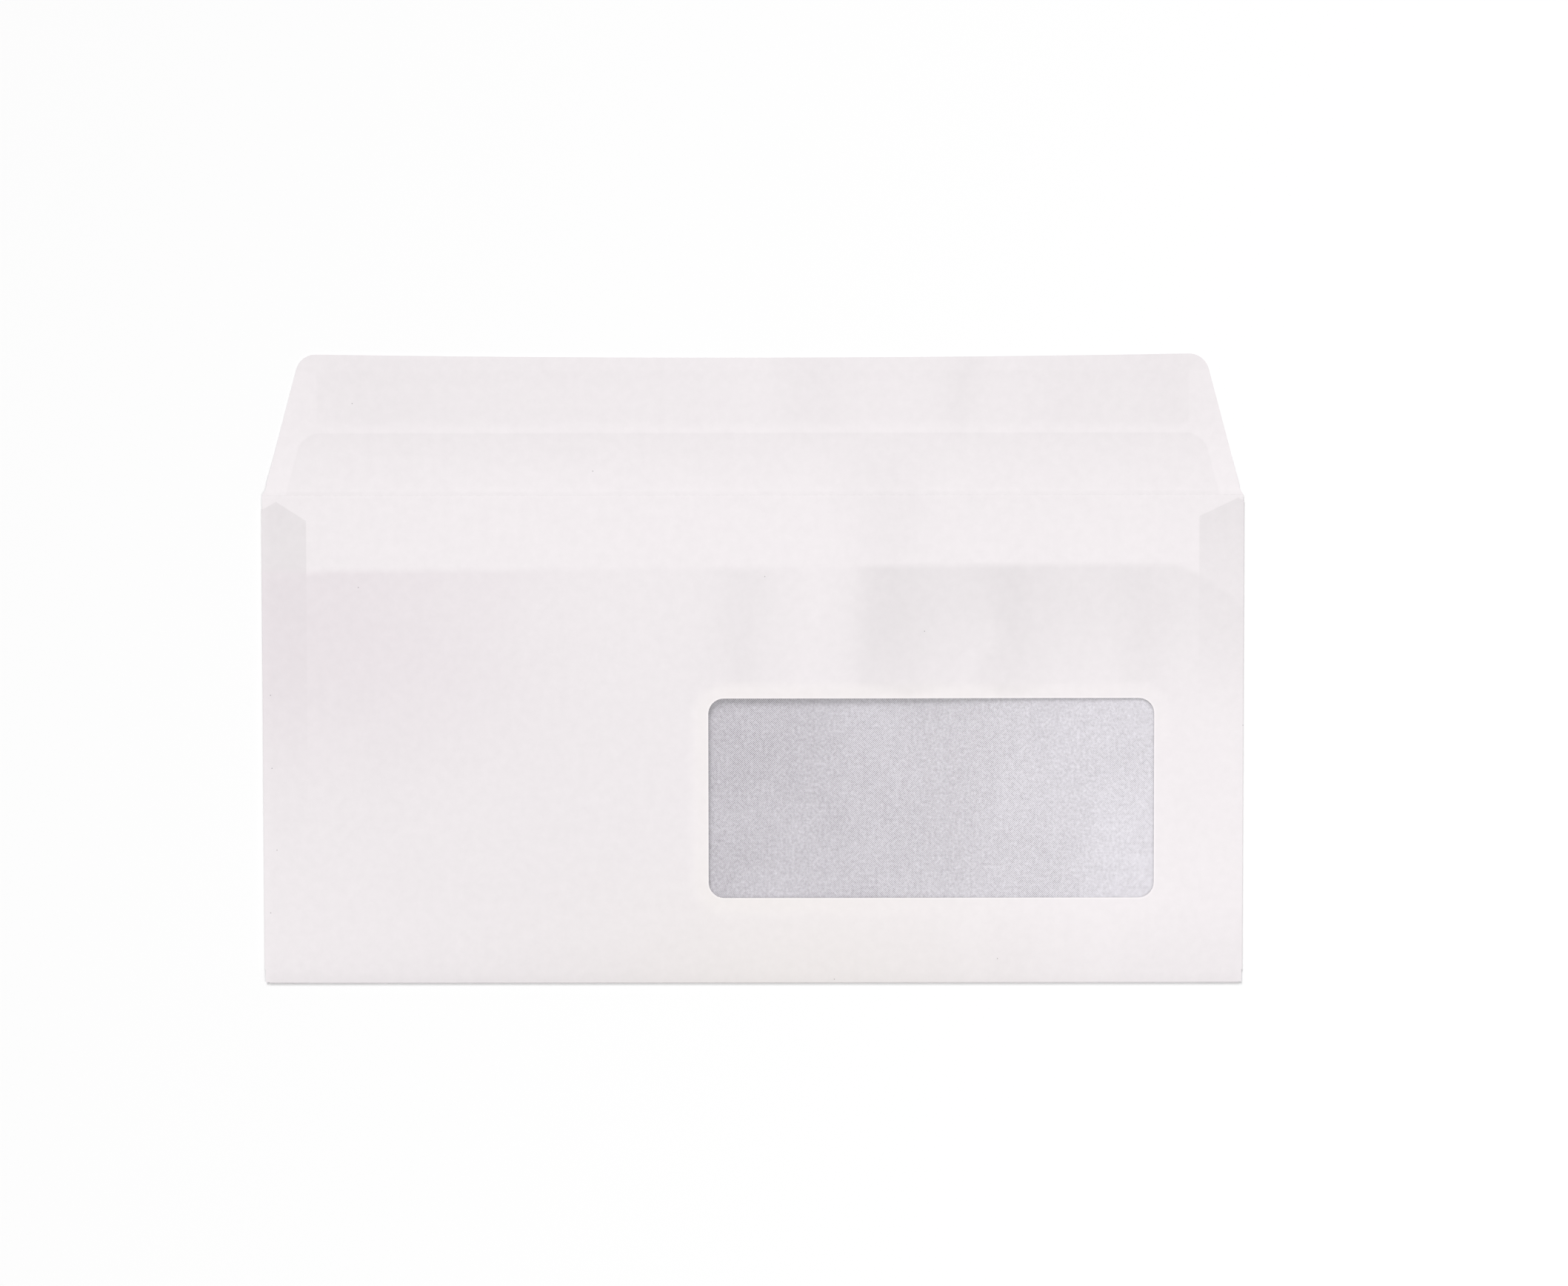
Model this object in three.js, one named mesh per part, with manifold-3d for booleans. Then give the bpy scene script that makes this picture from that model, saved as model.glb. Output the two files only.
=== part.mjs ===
import * as THREE from "three";
import { mergeVertices } from "three/addons/utils/BufferGeometryUtils.js";
import Module from "manifold-3d";

// Window envelope, DL size, lying on its back panel with the window up and the flap open.
// Millimetres. X runs along the envelope, +Y towards the flap, +Z out of the front panel.
// The origin is under the middle of the whole outline, at the surface that it lies on.

// Body
const envelope_width = 220;
const envelope_height = 110;
const paper = 0.12;
const crease_radius = 0.1; // inside the fold of a side flap
const glue = 0.02; // a dried glue line

// Pocket
const pocket_bulge = 0.9; // how far the front panel stands up in its middle
const bulge_length = 124; // half a wave along Y, longer than the body, so the mouth stays open

// Side flaps, folded in behind the front panel
const side_flap_width = 10;
const side_flap_foot = 3; // clear of the bottom fold
const side_flap_foot_slant = 3;
const side_flap_tops = [ // right, then left: how far below the top fold each corner lies
  { notch: 1.5, peak_in: 1.3, peak: 0.8, shoulder: 4.9 },
  { notch: 3.4, peak_in: 3.3, peak: 1.5, shoulder: 5.8 },
];

// Back panel, folded up behind the side flaps
const back_panel_inset = 1;
const throat_left = { drop: 17, dip: 2.5 }; // its free edge: how far below the top fold,
const throat_right = { drop: 15.7, dip: 9 }; // and how much lower it ends at each side
const throat_dip_length = 18;

// Top flap
const flap_height = 31.4;
const flap_side_angle = 15; // degrees from upright
const flap_shoulder_in = 1.2;
const flap_shoulder_up = 2.5;
const flap_corner_radius = 4.5;
const flap_top_bow = 0.8;
const flap_settle = 14; // how far from the fold the flap comes down flat

// Window and its film
const window_width = 100;
const window_height = 45;
const window_from_right = 20;
const window_from_bottom = 19.3;
const window_corner_radius = 3.5;
const film = 0.03;
const film_overlap = 6;
const film_corner_radius = 0.6;

// Seal on the flap's inner face
const liner_length = 195;
const liner_width = 11.4;
const liner_from_fold = 16.3;
const liner = 0.06;
const adhesive = 0.04;
const adhesive_end_inset = 2.5;
const adhesive_side_inset = 1.4;

// Fineness of the mesh
const panel_columns = 22;
const body_rows = 18;
const drop_rows = 5;
const crease_steps = 6;
const curve_steps = 10;
const spare = 4; // how far the uncut sheet stands past its outline
const hold_step = 0.004; // how the sheet's slope grows from line to line while it is cut

// Worked out from the sizes above
const half_width = envelope_width / 2;
const top_y = (envelope_height + flap_height) / 2;
const bottom_y = -top_y;
const fold_y = bottom_y + envelope_height;
const panel_rest = 2 * paper + glue + 2 * crease_radius;
const flap_rest = adhesive + liner;
const neutral = paper / 2; // depth in the sheet that keeps its length when folded
const window_left = half_width - window_from_right - window_width;
const window_bottom = bottom_y + window_from_bottom;

const side_crease = {
  at: half_width - paper - crease_radius,
  centre_z: panel_rest - crease_radius,
  radius: crease_radius,
  length: Math.PI * (crease_radius + neutral),
};
const bottom_radius = (panel_rest - paper) / 2;
const bottom_crease = {
  at: bottom_y + paper + bottom_radius,
  centre_z: paper + bottom_radius,
  radius: bottom_radius,
  length: Math.PI * (bottom_radius + neutral),
};

const wasm = await Module();
wasm.setup();

function toSolid(geometry) {
  const bare = geometry.clone();
  bare.deleteAttribute("normal");
  bare.deleteAttribute("uv");
  const merged = mergeVertices(bare, 1e-5);
  return new wasm.Manifold(new wasm.Mesh({
    numProp: 3,
    vertProperties: new Float32Array(merged.attributes.position.array),
    triVerts: new Uint32Array(merged.index.array),
  }));
}

function toGeometry(solid) {
  const mesh = solid.getMesh();
  const geometry = new THREE.BufferGeometry();
  geometry.setAttribute("position", new THREE.BufferAttribute(mesh.vertProperties, 3));
  geometry.setIndex(new THREE.BufferAttribute(mesh.triVerts, 1));
  return geometry;
}

// Even steps from one place to another, without the last one
function steps(from, to, count) {
  return Array.from({ length: count }, (_, i) => from + ((to - from) * i) / count);
}

// How high a sheet is held at one place while it is cut: a straight run between two grid lines,
// with a new slope past each line, so that the cut keeps its crossing with every line
function holdHeight(lines, place) {
  const next = Math.max(lines.findIndex((line) => line >= place), 1);
  const share = (place - lines[next - 1]) / (lines[next] - lines[next - 1]);
  return hold_step * ((1 - share) * (next - 1) ** 2 + share * next ** 2);
}

// A thin slab with grid lines at the given places
function griddedSlab(columns, rows, thickness) {
  const across = columns.length - 1;
  const along = rows.length - 1;
  const slab = new THREE.BoxGeometry(across, along, thickness, across, along, 1);
  const places = slab.attributes.position;
  for (let i = 0; i < places.count; i += 1) {
    const x = columns[Math.round(places.getX(i) + across / 2)];
    const y = rows[Math.round(places.getY(i) + along / 2)];
    const lift = holdHeight(columns, x) + holdHeight(rows, y);
    places.setXYZ(i, x, y, places.getZ(i) + thickness / 2 + lift);
  }
  return slab;
}

// A sheet cut to an outline, with each point of it then moved by place. Before it is moved,
// a point's z is its depth in the sheet: 0 on the inner face and the thickness on the outer.
function cutSheet(columns, rows, thickness, outline, place) {
  const highest = holdHeight(columns, columns.at(-1)) + holdHeight(rows, rows.at(-1));
  const cutter = new THREE.ExtrudeGeometry(outline, {
    depth: highest + 4 * thickness,
    bevelEnabled: false,
    curveSegments: curve_steps,
  });
  cutter.translate(0, 0, -2 * thickness);
  const slab = griddedSlab(columns, rows, thickness);
  const geometry = toGeometry(toSolid(slab).intersect(toSolid(cutter)));
  const places = geometry.attributes.position;
  const point = new THREE.Vector3();
  for (let i = 0; i < places.count; i += 1) {
    point.fromBufferAttribute(places, i);
    const lift = holdHeight(columns, point.x) + holdHeight(rows, point.y);
    point.z = point.z - lift > thickness / 2 ? thickness : 0;
    place(point);
    places.setXYZ(i, point.x, point.y, point.z);
  }
  return geometry;
}

function roundedRectangle(path, left, bottom, width, height, radius) {
  const right = left + width;
  const top = bottom + height;
  path.moveTo(left + radius, bottom);
  path.lineTo(right - radius, bottom);
  path.absarc(right - radius, bottom + radius, radius, -Math.PI / 2, 0);
  path.lineTo(right, top - radius);
  path.absarc(right - radius, top - radius, radius, 0, Math.PI / 2);
  path.lineTo(left + radius, top);
  path.absarc(left + radius, top - radius, radius, Math.PI / 2, Math.PI);
  path.lineTo(left, bottom + radius);
  path.absarc(left + radius, bottom + radius, radius, Math.PI, 1.5 * Math.PI);
  return path;
}

// Height of the front panel's or top flap's inner face
function innerFace(x, y) {
  const side = Math.min(Math.abs(x) / side_crease.at, 1);
  const bulge = pocket_bulge * (1 - side * side);
  const wave = (Math.PI * (Math.min(y, fold_y) - bottom_crease.at)) / bulge_length;
  const panel = panel_rest + bulge * Math.sin(Math.max(wave, 0));
  const left_over = Math.max(1 - Math.max(y - fold_y, 0) / flap_settle, 0);
  return y > fold_y ? flap_rest + (panel - flap_rest) * left_over * left_over : panel;
}

// Where a length of sheet past a crease goes: back from the crease, and up
function rolled(past, crease, depth) {
  const turn = Math.min(past / crease.length, 1) * Math.PI;
  const radius = crease.radius + depth;
  return {
    out: Math.sin(turn) * radius - Math.max(past - crease.length, 0),
    z: crease.centre_z + Math.cos(turn) * radius,
  };
}

// Fold a point of the flat blank, whose depth is 0 on the inner face and paper on the outer
function fold(point) {
  const depth = point.z;
  const past_side = Math.abs(point.x) - side_crease.at;
  const past_bottom = bottom_crease.at - point.y;
  if (past_side > 0 && point.y > bottom_crease.at && point.y < fold_y) {
    const roll = rolled(past_side, side_crease, depth);
    point.x = Math.sign(point.x) * (side_crease.at + roll.out);
    point.z = roll.z;
  } else if (past_bottom > 0) {
    const roll = rolled(past_bottom, bottom_crease, depth);
    point.y = bottom_crease.at - roll.out;
    point.z = roll.z;
  } else {
    point.z = innerFace(point.x, point.y) + depth;
  }
}

// How far from the side crease, on the flat blank, a place that ends up this far inside the edge is
function blankPast(inside_edge) {
  return side_crease.length + inside_edge - (half_width - side_crease.at);
}

// Where, on the flat blank, the back panel's edge lies that ends up this far below the top fold
function blankThroat(drop) {
  const up_the_back = fold_y - drop - bottom_crease.at;
  return bottom_crease.at - bottom_crease.length - up_the_back;
}

function blankOutline() {
  const edge = side_crease.at;
  const back_half = half_width - back_panel_inset;
  const left_throat = blankThroat(throat_left.drop);
  const right_throat = blankThroat(throat_right.drop);
  const [right, left] = side_flap_tops;
  const outline = new THREE.Shape();

  // The back panel's free edge, then up its right side to the bottom fold
  outline.moveTo(-back_half, left_throat + throat_left.dip);
  outline.quadraticCurveTo(-back_half + throat_dip_length / 2, left_throat,
    -back_half + throat_dip_length, left_throat);
  outline.lineTo(back_half - throat_dip_length, right_throat);
  outline.quadraticCurveTo(back_half - throat_dip_length / 2, right_throat,
    back_half, right_throat + throat_right.dip);
  outline.lineTo(back_half, bottom_crease.at);
  outline.lineTo(edge, bottom_crease.at);

  // The right side flap
  const foot_y = bottom_y + side_flap_foot;
  outline.lineTo(edge, foot_y);
  outline.lineTo(edge + blankPast(side_flap_width), foot_y + side_flap_foot_slant);
  outline.lineTo(edge + blankPast(side_flap_width), fold_y - right.shoulder);
  outline.lineTo(edge + blankPast(right.peak_in), fold_y - right.peak);
  outline.lineTo(edge, fold_y - right.notch);

  // The top flap
  topFlap(outline, edge);

  // The left side flap
  outline.lineTo(-edge, fold_y - left.notch);
  outline.lineTo(-edge - blankPast(left.peak_in), fold_y - left.peak);
  outline.lineTo(-edge - blankPast(side_flap_width), fold_y - left.shoulder);
  outline.lineTo(-edge - blankPast(side_flap_width), foot_y + side_flap_foot_slant);
  outline.lineTo(-edge, foot_y);
  outline.lineTo(-edge, bottom_crease.at);
  outline.lineTo(-back_half, bottom_crease.at);
  outline.closePath();
  return outline;
}

// From the right end of the top fold round the flap to its left end
function topFlap(outline, edge) {
  const angle = THREE.MathUtils.degToRad(flap_side_angle);
  const slant = Math.tan(angle);
  const shoulder_x = half_width - flap_shoulder_in;
  const shoulder_y = fold_y + flap_shoulder_up;
  const arc_y = top_y - flap_corner_radius;
  const arc_x = shoulder_x - (arc_y - shoulder_y) * slant - flap_corner_radius / Math.cos(angle);
  outline.lineTo(edge, fold_y);
  outline.quadraticCurveTo(shoulder_x, fold_y + flap_shoulder_up / 2, shoulder_x, shoulder_y);
  outline.absarc(arc_x, arc_y, flap_corner_radius, angle, Math.PI / 2);
  outline.quadraticCurveTo(0, top_y - 2 * flap_top_bow, -arc_x, top_y);
  outline.absarc(-arc_x, arc_y, flap_corner_radius, Math.PI / 2, Math.PI - angle);
  outline.lineTo(-shoulder_x, shoulder_y);
  outline.quadraticCurveTo(-shoulder_x, fold_y + flap_shoulder_up / 2, -edge, fold_y);
}

// Grid lines of the blank: fine round the creases, even over the panels
function blankColumns() {
  const flat_edge = side_crease.at + blankPast(side_flap_width) + spare;
  const crease_end = side_crease.at + side_crease.length;
  const right = [...steps(side_crease.at, crease_end, crease_steps), crease_end, flat_edge];
  const left = right.map((x) => -x).reverse().slice(0, -1);
  return [...left, ...steps(-side_crease.at, side_crease.at, panel_columns), ...right];
}

function blankRows() {
  const crease_end = bottom_crease.at - bottom_crease.length;
  return [
    crease_end - envelope_height,
    ...steps(crease_end, bottom_crease.at, crease_steps),
    ...steps(bottom_crease.at, fold_y, body_rows),
    ...steps(fold_y, fold_y + flap_settle, drop_rows),
    fold_y + flap_settle,
    top_y + spare,
  ];
}

function envelopeSheet() {
  const outline = blankOutline();
  outline.holes.push(roundedRectangle(new THREE.Path(), window_left, window_bottom,
    window_width, window_height, window_corner_radius));
  return cutSheet(blankColumns(), blankRows(), paper, outline, fold);
}

function windowFilm() {
  const outline = roundedRectangle(new THREE.Shape(), window_left - film_overlap,
    window_bottom - film_overlap, window_width + 2 * film_overlap,
    window_height + 2 * film_overlap, film_corner_radius);
  return cutSheet(blankColumns(), blankRows(), film, outline, (point) => {
    point.z += innerFace(point.x, point.y) - glue - film;
  });
}

// A flat strip under the flap, centred along the envelope
function strip(length, from_fold, width, bottom, thickness) {
  const shape = new THREE.BoxGeometry(length, width, thickness);
  shape.translate(0, fold_y + from_fold + width / 2, bottom + thickness / 2);
  return shape;
}

function named(name, geometry, colour, roughness, extra = {}) {
  const material = new THREE.MeshStandardMaterial({ color: colour, roughness, metalness: 0, ...extra });
  const mesh = new THREE.Mesh(geometry, material);
  mesh.name = name;
  return mesh;
}

const envelope = new THREE.Group();
envelope.name = "window_envelope";
envelope.add(
  named("envelope_sheet", envelopeSheet(), 0xf0ebed, 0.85),
  named("window_film", windowFilm(), 0xf4f6f8, 0.15, { transparent: true, opacity: 0.25 }),
  named("seal_adhesive", strip(liner_length - 2 * adhesive_end_inset,
    liner_from_fold + adhesive_side_inset, liner_width - 2 * adhesive_side_inset,
    liner, adhesive), 0xe9e2cf, 0.4),
  named("release_liner", strip(liner_length, liner_from_fold, liner_width, 0, liner), 0xf3f1ec, 0.45),
);

export default envelope;
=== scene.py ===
import math

import bmesh
import bpy
from mathutils import Matrix, Vector


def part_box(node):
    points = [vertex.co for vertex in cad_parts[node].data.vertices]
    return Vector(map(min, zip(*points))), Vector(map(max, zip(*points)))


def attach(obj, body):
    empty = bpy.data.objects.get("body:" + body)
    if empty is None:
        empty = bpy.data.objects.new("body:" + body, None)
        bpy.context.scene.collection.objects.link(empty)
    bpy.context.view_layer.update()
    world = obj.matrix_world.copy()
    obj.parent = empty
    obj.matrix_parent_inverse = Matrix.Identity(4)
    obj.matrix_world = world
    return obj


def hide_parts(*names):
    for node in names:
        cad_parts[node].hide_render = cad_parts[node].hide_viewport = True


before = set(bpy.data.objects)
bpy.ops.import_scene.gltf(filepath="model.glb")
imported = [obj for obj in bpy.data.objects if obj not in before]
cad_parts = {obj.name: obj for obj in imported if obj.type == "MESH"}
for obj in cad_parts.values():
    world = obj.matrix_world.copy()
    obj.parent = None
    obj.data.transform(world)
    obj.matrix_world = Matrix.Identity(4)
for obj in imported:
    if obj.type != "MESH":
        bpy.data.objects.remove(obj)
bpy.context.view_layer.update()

mm = 0.001

# Sizes of the folded sheet, in metres; paper, glue and film are thicknesses
sheet_low, sheet_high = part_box("envelope_sheet")
half_width = sheet_high[0]
top_y = sheet_high[1]
bottom_y = sheet_low[1]
flap_height = 31.4 * mm
fold_y = top_y - flap_height
paper = 0.12 * mm
crease_radius = 0.1 * mm
glue = 0.02 * mm
pocket_bulge = 0.9 * mm
bulge_length = 124 * mm
side_flap_width = 10 * mm
side_flap_foot = 3 * mm
side_flap_foot_slant = 3 * mm
right_flap_top = {"notch": 1.5 * mm, "peak_in": 1.3 * mm, "peak": 0.8 * mm, "shoulder": 4.9 * mm}
left_flap_top = {"notch": 3.4 * mm, "peak_in": 3.3 * mm, "peak": 1.5 * mm, "shoulder": 5.8 * mm}
back_panel_inset = 1 * mm
throat_left = {"drop": 17 * mm, "dip": 2.5 * mm}
throat_right = {"drop": 15.7 * mm, "dip": 9 * mm}
throat_dip_length = 18 * mm
flap_side_angle = math.radians(15)
flap_shoulder_in = 1.2 * mm
flap_shoulder_up = 2.5 * mm
flap_corner_radius = 4.5 * mm
flap_top_bow = 0.8 * mm
flap_settle = 14 * mm
window_width = 100 * mm
window_height = 45 * mm
window_left = half_width - 20 * mm - window_width
window_bottom = bottom_y + 19.3 * mm
window_radius = 3.5 * mm
film = 0.03 * mm
film_overlap = 6 * mm
film_corner = 0.6 * mm
print_side_inset = 5.4 * mm
print_height = 13.9 * mm
print_corner = 4 * mm
print_dot_pitch = 0.32 * mm
liner_low, liner_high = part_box("release_liner")

# How the paper is out of true: the score along the top fold with the lip beside it, the low waves
# of the front panel, and how much lower the panel lies towards its right end
score_depth = 0.035 * mm
score_reach = 0.3 * mm
lip_above_fold = 0.75 * mm
lip_reach = 0.35 * mm
lip_share = 0.6
cockle = 0.3 * mm
sink = 0.6 * mm
sink_middle = 48 * mm
sink_run = 50 * mm

# Worked out from them
panel_rest = 2 * paper + glue + 2 * crease_radius
flap_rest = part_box("seal_adhesive")[1][2]
side_crease_at = half_width - paper - crease_radius
side_crease_z = panel_rest - crease_radius
side_crease_length = math.pi * (crease_radius + paper / 2)
bottom_radius = (panel_rest - paper) / 2
bottom_crease_at = bottom_y + paper + bottom_radius
bottom_crease_z = paper + bottom_radius
bottom_crease_length = math.pi * (bottom_radius + paper / 2)
back_half = half_width - back_panel_inset
window_middle = (window_left + window_width / 2, window_bottom + window_height / 2)

# Soft streaks along Y, painted shade of the paper's soft buckles: where each lies along X
# and how far it reaches, both in millimetres, and how much darker it is
panel_streaks = (
    (-3.5, 6, 0.034),
    (14, 4, -0.014),
    (32, 6, 0.026),
    (56, 5, 0.036),
    (65, 4, 0.012),
    (87, 5, 0.02),
)
flap_streaks = (
    (-86, 18, 0.02),
    (-2, 6, -0.01),
    (13, 8, 0.022),
    (46, 4, 0.028),
    (70, 9, 0.018),
    (92, 14, 0.026),
)

# The same for the lighter lobes of painted light that reach up from the window between the streaks
panel_lobes = ((49, 3, 0.016), (68, 4, 0.01), (79, 4, 0.016))

# The same for the light border round the window, with the millimetres by which it is narrower there
border_tips = ((14, 5, -1), (35, 6, 2.5), (58, 5, 2.5))

# How much darker the paper's outside is, from 0 to 1: mostly for what lies behind it, seen through the
# paper, while the dark patches and the line along the fold are painted shade
left_strip_tone = 0.085
right_strip_tone = 0.075
near_middle_tone = 0.028
left_cloud_tone = 0.048
right_cloud_tone = 0.05
bottom_roll_tone = 0.05
panel_dark_patch_tone = 0.032
under_fold_tone = 0.005
print_tone = 0.023
print_top_tone = 0.012
seal_strip_tone = 0.02
seal_strip_top_tone = 0.008
flap_dark_patch_tone = 0.03
flap_rim_tone = 0.018
back_strip_tone = 0.05
score_shade_tone = 0.045
speck_tone = 0.5

# How much lighter it is in other places: on the right side, along the left crease and at the lower left
# this is painted light, and along the window's rim a painted highlight
right_side_painted_light = 0.014
film_border_lift = 0.01
left_crease_painted_light = 0.014
lower_left_painted_light = 0.01
print_edge_lift = 0.006
rim_highlight_lift = 0.055

# Colours as the eye reads them, from 0 to 255
outside_colour = (242, 237, 239)
inside_colour = (241, 235, 241)
ink_colour = (124, 112, 122)
cut_edge_colour = (246, 243, 243)
liner_colour = (243, 240, 232)
adhesive_colour = (232, 224, 203)

# Faint tints, added to the paper's colour as light
pink_tint = (0.003, -0.012, -0.002)
cream_tint = (0, 0, -0.022)
border_tint = (0.004, 0.004, -0.01)

# What share of the tones behind a side flap it hides
strip_cover = 0.85

# How strong the paper's unevenness is, from broad clouds to fine grain
cloud_strength = 0.02
formation_strength = 0.024
mottle_strength = 0.07
grain_strength = 0.02

# The inside's ink: how densely it lies, how unevenly, and how much thinner it gets to the right
ink_cover = 0.74
ink_cloud = 0.66
ink_mottle = 0.5
ink_grain = 1.4
ink_thinning = 0.3

# Dark fibres in the paper: cells to a metre, what share of them holds one, and its radius in cells
speck_cells = 55
speck_share = 0.16
speck_radius = 0.006

# How much light the film mirrors, seen straight on and how much more at a glancing angle
film_mirror = 0.08
film_glancing = 0.8

finish_names = ("Outside finish", "Inside finish", "Edge finish")
outside_face, inside_face, cut_face = range(3)

# How many steps the sheet's grid takes over each stretch of the blank
side_crease_columns = 8
panel_columns = 88
back_rows = 6
bottom_crease_rows = 10
panel_rows = 44
top_fold_rows = 24
flap_rows = 14
grid_margin = 4 * mm

# The camera; lens_scale is how many of the picture's pixels a metre takes at the envelope
image_width = 2117
camera_distance = 1.3
camera_tilt = math.radians(4.0)
camera_yaw = math.radians(0.21)
camera_roll = math.radians(-0.077)
lens_scale = 6020.4
camera_target = Vector((6.989 * mm, 5.97 * mm, 0))

# Light: how much the surround and the key light give the floor, and how bright the overhead box is
surround = 0.38
key_share = 0.39
key_place = Vector((-0.28, 0.9, 0.8))
key_angle = math.radians(28)
overhead_radiance = 2.15
overhead_size = 1.7
overhead_place = (1.01, -0.3, 2.4)
floor_reach = 3.0
floor_level = -0.02 * mm


class Term:
    """A value in a node tree, with which sums can be written as with a number."""

    def __init__(self, tree, value):
        self.tree = tree
        self.value = value

    def math(self, operation, *others):
        """The named operation on this value and the others."""
        node = self.tree.nodes.new("ShaderNodeMath")
        node.operation = operation
        for socket, value in zip(node.inputs, (self, *others)):
            if isinstance(value, Term):
                self.tree.links.new(value.value, socket)
            else:
                socket.default_value = value
        return Term(self.tree, node.outputs[0])

    def __add__(self, other):
        return self.math("ADD", other)

    def __sub__(self, other):
        return self.math("SUBTRACT", other)

    def __mul__(self, other):
        return self.math("MULTIPLY", other)

    def __truediv__(self, other):
        return self.math("DIVIDE", other)

    def minus_from(self, other):
        """The other value minus this one."""
        return (self * -1) + other

    def past(self, edge, softness):
        """0 below the edge and 1 above it, with a soft step between."""
        node = self.tree.nodes.new("ShaderNodeMapRange")
        node.interpolation_type = "SMOOTHSTEP"
        self.tree.links.new(self.value, node.inputs["Value"])
        for name, value in (("From Min", edge - softness / 2), ("From Max", edge + softness / 2)):
            node.inputs[name].default_value = value
        return Term(self.tree, node.outputs["Result"])


def arc(x, y, radius, start, end):
    """Points round a circle from one angle to another, in degrees."""
    count = 10
    angles = [math.radians(start + (end - start) * i / count) for i in range(count + 1)]
    return [(x + radius * math.cos(a), y + radius * math.sin(a)) for a in angles]


def bend(start, pull, end, count=10):
    """Points of a curve from start to end that leans towards pull, without its ends."""
    points = []
    for i in range(1, count):
        t = i / count
        weights = ((1 - t) ** 2, 2 * t * (1 - t), t * t)
        points.append(tuple(sum(w * p[k] for w, p in zip(weights, (start, pull, end))) for k in (0, 1)))
    return points


def rounded_rectangle(left, bottom, width, height, radius):
    """A closed outline with round corners."""
    right, top = left + width, bottom + height
    return (
        arc(right - radius, bottom + radius, radius, -90, 0)
        + arc(right - radius, top - radius, radius, 0, 90)
        + arc(left + radius, top - radius, radius, 90, 180)
        + arc(left + radius, bottom + radius, radius, 180, 270)
    )


def blank_past(inside_edge):
    """How far past the side crease, on the flat blank, a place lies that ends up so far inside the edge."""
    return side_crease_length + inside_edge - (half_width - side_crease_at)


def side_flap(side, top):
    """A side flap's corners from its foot to its top, on the right with side 1 and the left with -1."""
    foot_y = bottom_y + side_flap_foot
    edge = side_crease_at
    inner = edge + blank_past(side_flap_width)
    corners = [
        (edge, foot_y),
        (inner, foot_y + side_flap_foot_slant),
        (inner, fold_y - top["shoulder"]),
        (edge + blank_past(top["peak_in"]), fold_y - top["peak"]),
        (edge, fold_y - top["notch"]),
    ]
    return [(side * x, y) for x, y in corners]


def top_flap():
    """The top flap's outline from the right end of the fold round to the left end."""
    shoulder = (half_width - flap_shoulder_in, fold_y + flap_shoulder_up)
    arc_y = top_y - flap_corner_radius
    lean = (arc_y - shoulder[1]) * math.tan(flap_side_angle)
    arc_x = shoulder[0] - lean - flap_corner_radius / math.cos(flap_side_angle)
    angle = math.degrees(flap_side_angle)
    start = (side_crease_at, fold_y)
    right = [start, *bend(start, (shoulder[0], fold_y + flap_shoulder_up / 2), shoulder, 6), shoulder]
    right += arc(arc_x, arc_y, flap_corner_radius, angle, 90)
    left = [(-x, y) for x, y in reversed(right)]
    return right + bend(right[-1], (0, top_y - 2 * flap_top_bow), left[0], 30) + left


def blank_throat(end):
    """Where, on the flat blank, the back panel's edge lies that ends up so far below the top fold."""
    up_the_back = fold_y - end["drop"] - bottom_crease_at
    return bottom_crease_at - bottom_crease_length - up_the_back


def throat_end(side, end):
    """The dipped end of the back panel's free edge, from the side inwards."""
    run_y = blank_throat(end)
    corner = (side * back_half, run_y + end["dip"])
    run = (side * (back_half - throat_dip_length), run_y)
    pull = (side * (back_half - throat_dip_length / 2), run_y)
    return [corner, *bend(corner, pull, run), run]


def blank_outline():
    """The sheet's outline before it is folded."""
    right_notch = [(back_half, bottom_crease_at), (side_crease_at, bottom_crease_at)]
    left_notch = [(-x, y) for x, y in reversed(right_notch)]
    return (
        throat_end(-1, throat_left)
        + list(reversed(throat_end(1, throat_right)))
        + right_notch
        + side_flap(1, right_flap_top)
        + top_flap()
        + list(reversed(side_flap(-1, left_flap_top)))
        + left_notch
    )


def steps(start, end, count):
    """Even steps from start up to but not including end."""
    return [start + (end - start) * i / count for i in range(count)]


def blank_columns():
    """Grid lines across the blank: close in the side creases, even over the panels."""
    crease_end = side_crease_at + side_crease_length
    flat_edge = side_crease_at + blank_past(side_flap_width) + grid_margin
    right = steps(side_crease_at, crease_end, side_crease_columns) + [crease_end, flat_edge]
    left = [-x for x in reversed(right)][:-1]
    return left + steps(-side_crease_at, side_crease_at, panel_columns) + right


def blank_rows():
    """Grid lines along the blank: close in the bottom crease and at the top fold."""
    crease_end = bottom_crease_at - bottom_crease_length
    near = 2 * mm
    return (
        steps(blank_throat(throat_right) - grid_margin, crease_end, back_rows)
        + steps(crease_end, bottom_crease_at, bottom_crease_rows)
        + steps(bottom_crease_at, fold_y - near, panel_rows)
        + steps(fold_y - near, fold_y + near, top_fold_rows)
        + steps(fold_y + near, top_y, flap_rows)
        + [top_y, top_y + grid_margin]
    )


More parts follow.
